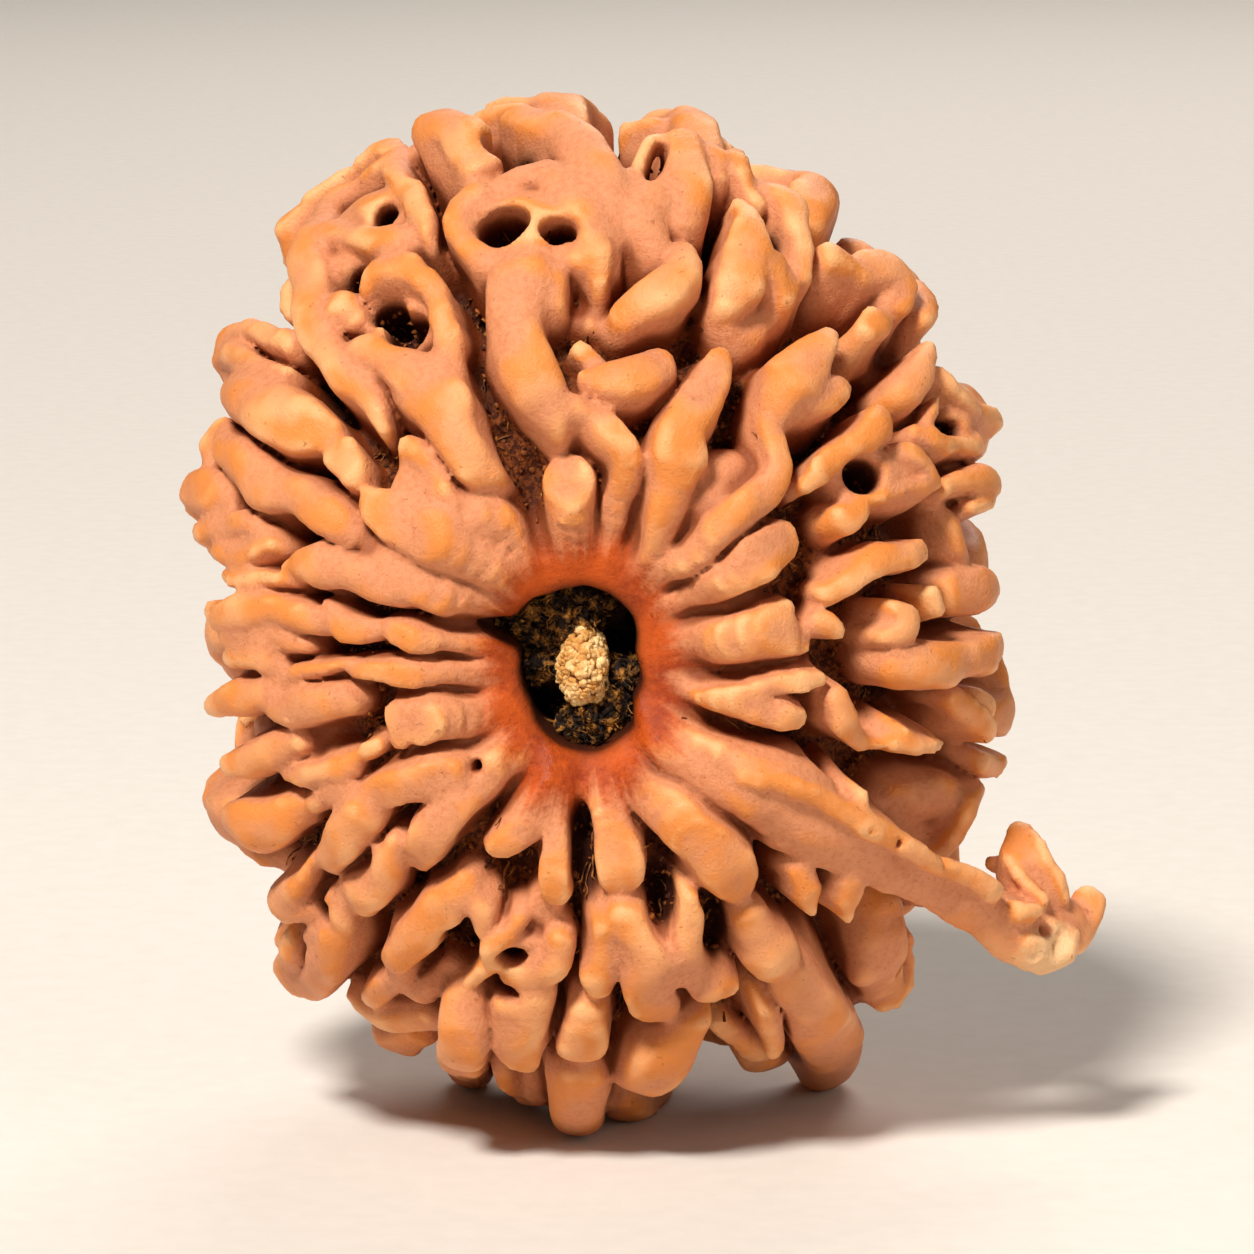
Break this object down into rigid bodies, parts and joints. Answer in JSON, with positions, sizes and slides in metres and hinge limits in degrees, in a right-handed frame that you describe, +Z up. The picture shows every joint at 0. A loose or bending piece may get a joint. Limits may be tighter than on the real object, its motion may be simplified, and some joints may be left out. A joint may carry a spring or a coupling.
{
  "type": "rudraksha bead",
  "caption": "Rudraksha bead: upright woody seed stone with branching ridges, deep grooves, a side trunk and a pith-filled threading canal.",
  "frame": {"origin": "on the surface that the bead stands on, under the middle of its box", "axes": "+Z up, -Y out of the front mouth of the canal, +X to the right as seen from the front, towards the trunk's tip"},
  "size_m": [0.0319, 0.0245, 0.0354],
  "materials": {
    "woody_stone": "polished orange crests over pinkish tan walls, with dark brown fibrous grooves and a red-brown collar",
    "pith": "pale, dry, spongy grains",
    "dried_pulp": "dark, rough, crumbly"
  },
  "bodies": {
    "root": {"bead_stone": "woody_stone", "pith_strand": "pith", "dried_pulp": "dried_pulp"}
  },
  "joints": []
}
